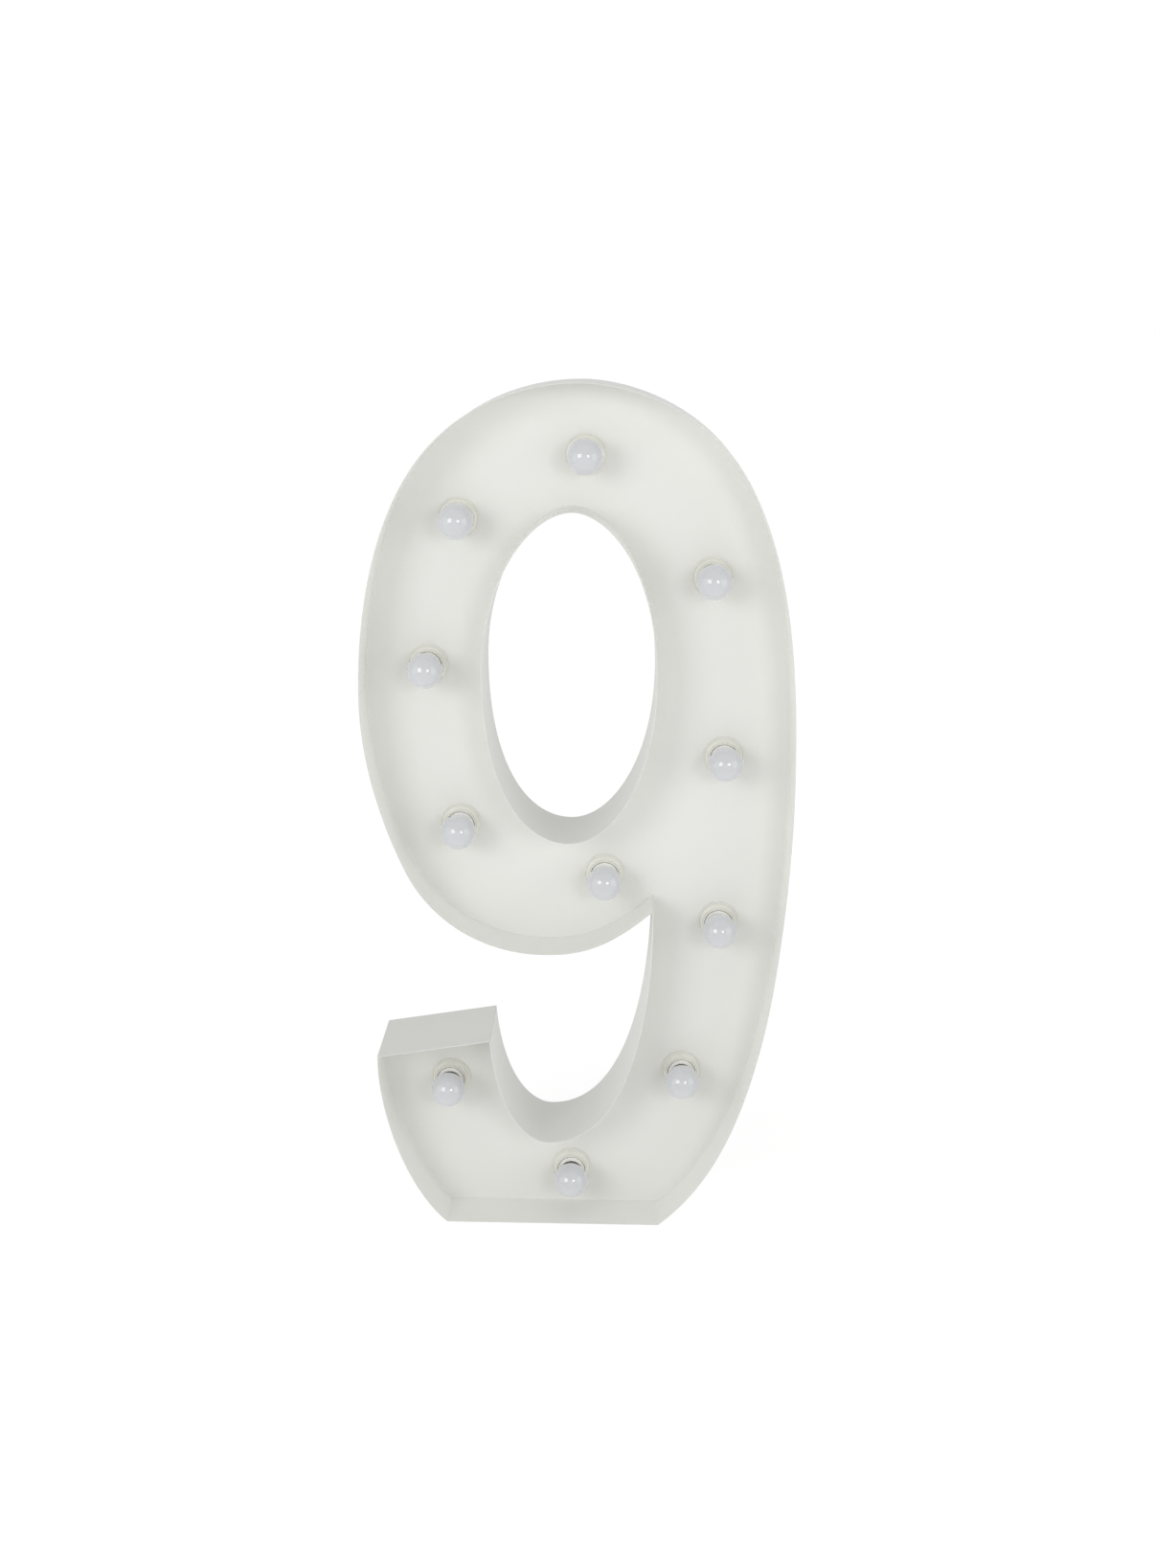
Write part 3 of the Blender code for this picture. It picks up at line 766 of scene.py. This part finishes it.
def add_sheets(outer, counter):
    """The lamp panel with its holes and the bead round it, and the rear cover."""
    edges = [inset(outer, WALL_SHEET + GAP), inset(counter, -WALL_SHEET - GAP)]
    bore = HOLDER_TUBE_RADIUS + HOLE_CLEARANCE
    holes = [circle(place(share), bore) for share in LAMP_SHARES.values()]
    panel = flat_sheet("sheet_of_lamp_panel", edges + holes, PANEL_FRONT, PANEL_SHEET)
    dress(panel, POWDER_COAT, "casing", "white_powder_coat", "lamp_panel")
    add_fillet("bead_round_panel", inset(outer, WALL_SHEET), 1)
    add_fillet("bead_round_counter", inset(counter, -WALL_SHEET), -1)

    stations = ledge_stations()
    screws = {tag: screw_place(*station) for tag, station in stations.items()}
    grommet = place(GROMMET_SHARES)
    holes = [screw_hole(centre) for centre in screws.values()]
    holes.append(circle(grommet, GROMMET_NECK_RADIUS + GAP))
    cover = flat_sheet("sheet_of_rear_cover", edges + holes, COVER_FRONT, COVER_SHEET)
    dress(cover, POWDER_COAT, "casing", "white_powder_coat", "rear_cover")
    ledge_front = COVER_FRONT - GAP - WALL_SHEET
    for tag, (point, direction) in stations.items():
        add_ledge(f"panel_ledge_{tag}", point, direction, PANEL_BACK + GAP)
        add_ledge(f"cover_ledge_{tag}", point, direction, ledge_front, screws[tag])
        add_screw(tag, screws[tag])
    add_grommet(grommet)


def ledge_stations():
    """The foot of each ledge on its wall and the direction in which it reaches inwards."""
    found = {}
    for tag, (shares, share) in LEDGE_SHARES.items():
        run = sampled(shares, LEDGE_SAMPLES)
        index = round((len(run) - 1) * share)
        found[tag] = (run[index], inward(run, index).normalized())
    foot = place(TAIL_SHARES[-1]).lerp(place(RIGHT_AND_CROWN_SHARES[0]), FOOT_LEDGE_SHARE)
    found["foot"] = (foot, Vector((0, 1)))
    return found


def screw_place(point, direction):
    """Where the cover screw sits on a ledge."""
    return point + direction * (WALL_SHEET + LEDGE_REACH * LEDGE_SCREW_SHARE)


def screw_hole(centre):
    """The hole that a cover screw goes through."""
    return circle(centre, SCREW_RADIUS + SCREW_CLEARANCE, SMALL_CIRCLE_STEPS)


def add_ledge(name, point, direction, front, screw=None):
    """A ledge bent in from a wall: a flat tongue with rounded corners, bored for its screw."""
    along = direction.orthogonal() * LEDGE_WIDTH / 2
    root = point + direction * WALL_SHEET / 2
    tip = point + direction * (WALL_SHEET + LEDGE_REACH)
    loop = [root - along, root + along]
    for side in (1, -1):
        corner = tip + along * side
        back = corner - direction * LEDGE_CORNER
        aside = corner - along.normalized() * side * LEDGE_CORNER
        loop += corner_curve(back, corner, aside, CORNER_POINTS)[::side]
    loops = [loop]
    if screw:
        loops.append(screw_hole(screw))
    tongue = flat_sheet(name, loops, front, WALL_SHEET)
    dress(tongue, POWDER_COAT, "casing", "white_powder_coat")


def facing_back(obj, centre, depth):
    """Sets a turned piece on the cover with its axis towards the back."""
    obj.location = deep(centre, depth)
    obj.rotation_euler.x = -math.pi / 2


def add_screw(tag, centre):
    """A slotted pan head screw with its thread."""
    dome = SCREW_HEAD_HEIGHT - SCREW_HEAD_EDGE * SCREW_DOME_SHARE
    head = softened([
        (0, SCREW_HEAD_HEIGHT),
        (SCREW_HEAD_RADIUS * SCREW_CROWN_SHARE, dome),
        (SCREW_HEAD_RADIUS, SCREW_HEAD_HEIGHT - SCREW_HEAD_EDGE),
        (SCREW_HEAD_RADIUS, 0),
        (SCREW_RADIUS, 0),
        (SCREW_RADIUS, -SCREW_PITCH),
    ], SCREW_HEAD_EDGE)
    point = -SCREW_LENGTH + SCREW_RADIUS
    shank = threaded(SCREW_RADIUS, -SCREW_PITCH, point, SCREW_PITCH, SCREW_THREAD)
    tip = [(SCREW_RADIUS * SCREW_TIP_SHARE, -SCREW_LENGTH), (0, -SCREW_LENGTH)]
    profile = head + shank[1:] + tip
    screw = spun(f"slotted_screw_{tag}", profile, SCREW_STEPS, helix(SCREW_PITCH))
    cut_slot(screw)
    facing_back(screw, centre, COVER_BACK + GAP)
    dress(screw, ZINC, "casing", "zinc_steel", f"cover_screw_{tag}")


def cut_slot(screw):
    """Cuts the screwdriver slot across the head of a screw, into its mesh."""
    shell = bmesh.new()
    bmesh.ops.create_cube(shell, size=1)
    length = SLOT_CUTTER_HEADS * 2 * SCREW_HEAD_RADIUS
    size = (length, SCREW_SLOT_WIDTH, 2 * SCREW_SLOT_DEPTH)
    bmesh.ops.scale(shell, verts=shell.verts, vec=size)
    bmesh.ops.translate(shell, verts=shell.verts, vec=(0, 0, SCREW_HEAD_HEIGHT))
    slot = finish_mesh("slot", shell)
    cut = screw.modifiers.new("slot", "BOOLEAN")
    cut.object = slot
    cut.solver = "EXACT"
    mesh = baked(screw)
    screw.modifiers.remove(cut)
    bpy.data.objects.remove(slot)
    screw.data = mesh
    mesh.set_sharp_from_angle(angle=math.radians(SHARP))


def add_grommet(centre):
    """The rubber cable inlet, with rounded flanges and a groove round the outer one."""
    outer_end = GAP + GROMMET_FLANGE_THICKNESS
    inner_end = -(COVER_SHEET + GAP + GROMMET_FLANGE_THICKNESS)
    bead = (GROMMET_BORE_RADIUS + GROMMET_FLANGE_RADIUS) / 2
    profile = softened([
        (GROMMET_BORE_RADIUS, inner_end),
        (GROMMET_BORE_RADIUS, outer_end),
        (bead - GROMMET_GROOVE, outer_end),
        (bead, outer_end - GROMMET_GROOVE_DEPTH),
        (bead + GROMMET_GROOVE, outer_end),
        (GROMMET_FLANGE_RADIUS, outer_end),
        (GROMMET_FLANGE_RADIUS, GAP),
        (GROMMET_NECK_RADIUS, GAP),
        (GROMMET_NECK_RADIUS, -COVER_SHEET - GAP),
        (GROMMET_FLANGE_RADIUS, -COVER_SHEET - GAP),
        (GROMMET_FLANGE_RADIUS, inner_end),
        (GROMMET_BORE_RADIUS + GROMMET_BORE_LEAD, inner_end),
    ], GROMMET_ROUNDING)
    inlet = spun("rubber_inlet", profile, CIRCLE_STEPS, closed=True)
    facing_back(inlet, centre, COVER_BACK)
    dress(inlet, RUBBER, "casing", "black_rubber", "cable_grommet")


def add_floor():
    """A pale floor that keeps the shadow and lights the number from below."""
    shell = bmesh.new()
    bmesh.ops.create_grid(shell, x_segments=1, y_segments=1, size=FLOOR_REACH)
    floor = finish_mesh("floor", shell)
    look = bpy.data.materials.new("floor")
    look.use_nodes = True
    tree = look.node_tree
    tree.nodes.remove(tree.nodes["Principled BSDF"])
    matt = node(tree, "ShaderNodeBsdfDiffuse", Color=(*FLOOR_COLOUR, 1))
    away = node(tree, "ShaderNodeVectorMath", operation="LENGTH")
    lift = node(tree, "ShaderNodeMapRange")
    lift.inputs["From Max"].default_value = FLOOR_LIFT_REACH
    lift.inputs["To Min"].default_value = FLOOR_LIFT_NEAR
    lift.inputs["To Max"].default_value = FLOOR_LIFT_FAR
    glow = node(tree, "ShaderNodeMapRange")
    glow.inputs["To Min"].default_value = FLOOR_GLOW
    light = node(tree, "ShaderNodeEmission")
    mix = node(tree, "ShaderNodeMixShader", Fac=FLOOR_LIFT_SHARE)
    tree.links.new(node(tree, "ShaderNodeTexCoord").outputs["Object"], away.inputs[0])
    tree.links.new(away.outputs["Value"], lift.inputs["Value"])
    tree.links.new(lift.outputs["Result"], glow.inputs["To Max"])
    tree.links.new(seen_directly(tree), glow.inputs["Value"])
    tree.links.new(glow.outputs["Result"], light.inputs["Strength"])
    tree.links.new(matt.outputs["BSDF"], mix.inputs[1])
    tree.links.new(light.outputs["Emission"], mix.inputs[2])
    tree.links.new(mix.outputs["Shader"], tree.nodes["Material Output"].inputs["Surface"])
    floor.data.materials.append(look)


def add_room():
    """A white room, which gives less light than it shows."""
    world = bpy.data.worlds.new("room")
    world.use_nodes = True
    bpy.context.scene.world = world
    tree = world.node_tree
    strength = node(tree, "ShaderNodeMapRange")
    strength.inputs["To Min"].default_value = ROOM_STRENGTH
    tree.links.new(seen_directly(tree), strength.inputs["Value"])
    background = tree.nodes["Background"]
    background.inputs["Color"].default_value = (1, 1, 1, 1)
    tree.links.new(strength.outputs["Result"], background.inputs["Strength"])


def seen_directly(tree):
    """An output that is 1 for camera, glossy and transmission rays and 0 for the light itself."""
    path = node(tree, "ShaderNodeLightPath")
    first = node(tree, "ShaderNodeMath", operation="MAXIMUM")
    second = node(tree, "ShaderNodeMath", operation="MAXIMUM")
    tree.links.new(path.outputs["Is Camera Ray"], first.inputs[0])
    tree.links.new(path.outputs["Is Glossy Ray"], first.inputs[1])
    tree.links.new(first.outputs[0], second.inputs[0])
    tree.links.new(path.outputs["Is Transmission Ray"], second.inputs[1])
    return second.outputs[0]


def add_lights():
    """The soft boxes, all turned to the middle of the number."""
    target = Vector((0, 0, HEIGHT / 2))
    for name, (side, rise, size, strength) in SOFT_BOXES.items():
        light = bpy.data.lights.new(name, "AREA")
        light.size = size
        light.energy = strength
        box = linked(name, light)
        turn, tilt = math.radians(side), math.radians(rise)
        away = Vector((
            math.sin(turn) * math.cos(tilt),
            -math.cos(turn) * math.cos(tilt),
            math.sin(tilt),
        ))
        box.location = target + away * SOFT_BOX_DISTANCE
        box.rotation_euler = (-away).to_track_quat("-Z", "Y").to_euler()


def add_camera():
    """The photograph's camera, from its fitted place, angles and focal length."""
    angles = (CAMERA_PITCH, CAMERA_TURN, CAMERA_ROLL)
    pitch, turn, roll = (math.radians(angle) for angle in angles)
    forward = Vector((
        math.cos(pitch) * math.sin(turn),
        math.cos(pitch) * math.cos(turn),
        -math.sin(pitch),
    ))
    right = Vector((math.cos(turn), -math.sin(turn), 0))
    up = right.cross(forward)
    rolled_right = right * math.cos(roll) + up * math.sin(roll)
    rolled_up = up * math.cos(roll) - right * math.sin(roll)
    data = bpy.data.cameras.new("camera")
    data.sensor_fit = "VERTICAL"
    data.sensor_height = SENSOR_HEIGHT
    data.lens = CAMERA_FOCUS * SENSOR_HEIGHT / IMAGE_HEIGHT
    camera = linked("camera", data)
    axes = Matrix((rolled_right, rolled_up, -forward)).transposed()
    camera.matrix_world = Matrix.Translation(CAMERA_PLACE) @ axes.to_4x4()
    bpy.context.scene.camera = camera


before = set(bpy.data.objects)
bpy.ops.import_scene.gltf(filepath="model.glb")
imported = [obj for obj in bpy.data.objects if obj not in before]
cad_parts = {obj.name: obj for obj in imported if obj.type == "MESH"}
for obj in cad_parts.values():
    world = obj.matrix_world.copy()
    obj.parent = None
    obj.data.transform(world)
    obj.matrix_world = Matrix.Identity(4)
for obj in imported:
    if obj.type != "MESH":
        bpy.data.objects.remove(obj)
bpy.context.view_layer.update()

# Materials of the casing
COAT_FINISH = {
    "roughness": 0.48,
    "mottle": (9, 0.01),
    "grain": [(8, 0.0008), (650, 0.00004)],
    "Specular_IOR_Level": 0.35,
}
POWDER_COAT = material("powder_coat", colour=(0.78, 0.78, 0.75), **COAT_FINISH)
# The same powder coat made lighter for the walls: painted light that evens their shading with the
# panel's.
WALL_COAT_PAINTED_LIGHT = material("wall_coat_painted_light", colour=(0.90, 0.90, 0.87), **COAT_FINISH)
# Darker coat for the wall rims: painted shade, because the rims face the light more than the
# recessed panel does.
RIM_PAINTED_SHADE = material(
    "rim_painted_shade", colour=(0.75, 0.75, 0.72), roughness=0.55,
    mottle=(60, 0.03), grain=[(900, 0.00003)], Specular_IOR_Level=0.2,
)
ZINC = material(
    "zinc", colour=(0.60, 0.61, 0.62), roughness=0.34,
    mottle=(500, 0.08), grain=[(2500, 0.00001)], Metallic=1.0,
)
RUBBER = material(
    "rubber", colour=(0.022, 0.022, 0.022), roughness=0.62,
    mottle=(200, 0.1), grain=[(1200, 0.00003)],
)

# Materials of the lamps
RING_PLASTIC = material(
    "ring_plastic", colour=(0.775, 0.775, 0.715), roughness=0.38,
    mottle=(60, 0.03), grain=[(900, 0.00002)],
)
HOLDER_PLASTIC = material(
    "holder_plastic", colour=(0.95, 0.95, 0.91), roughness=0.34,
    mottle=(60, 0.03), grain=[(900, 0.00002)],
)
# The bulb's neck is painted near black: painted shade for the gap between the lampholder's mouth
# and the globe, on a neck that is white plastic.
NECK_PAINTED_SHADE = material(
    "neck_painted_shade", colour=(0.16, 0.16, 0.16), roughness=0.4,
    mottle=(70, 0.02), grain=[(900, 0.00002)],
)
NICKEL = material(
    "nickel", colour=(0.66, 0.64, 0.60), roughness=0.26,
    mottle=(300, 0.05), grain=[(1500, 0.00001)], Metallic=1.0,
)
OPAL = material(
    "opal", colour=(0.65, 0.662, 0.68), roughness=0.07,
    mottle=(40, 0.008), grain=[(120, 0.00001)],
    Diffuse_Roughness=1.0, Specular_IOR_Level=0.9,
)

# Materials of the wiring
CABLE = material(
    "cable", colour=(0.028, 0.028, 0.028), roughness=0.5,
    mottle=(90, 0.1), grain=[(1000, 0.00002)],
)
GREY_PLASTIC = material(
    "grey_plastic", colour=(0.36, 0.37, 0.38), roughness=0.46,
    mottle=(80, 0.04), grain=[(900, 0.00003)],
)

add_camera()
add_floor()
add_room()
add_lights()
add_sheets(*add_walls())
add_lamps()

# Pieces that keep their CAD mesh
for node_name, coat in (("junction_box", GREY_PLASTIC), ("lamp_wiring", CABLE)):
    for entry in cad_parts[node_name].material_slots:
        entry.material = coat

bpy.context.scene.view_settings.view_transform = "Standard"
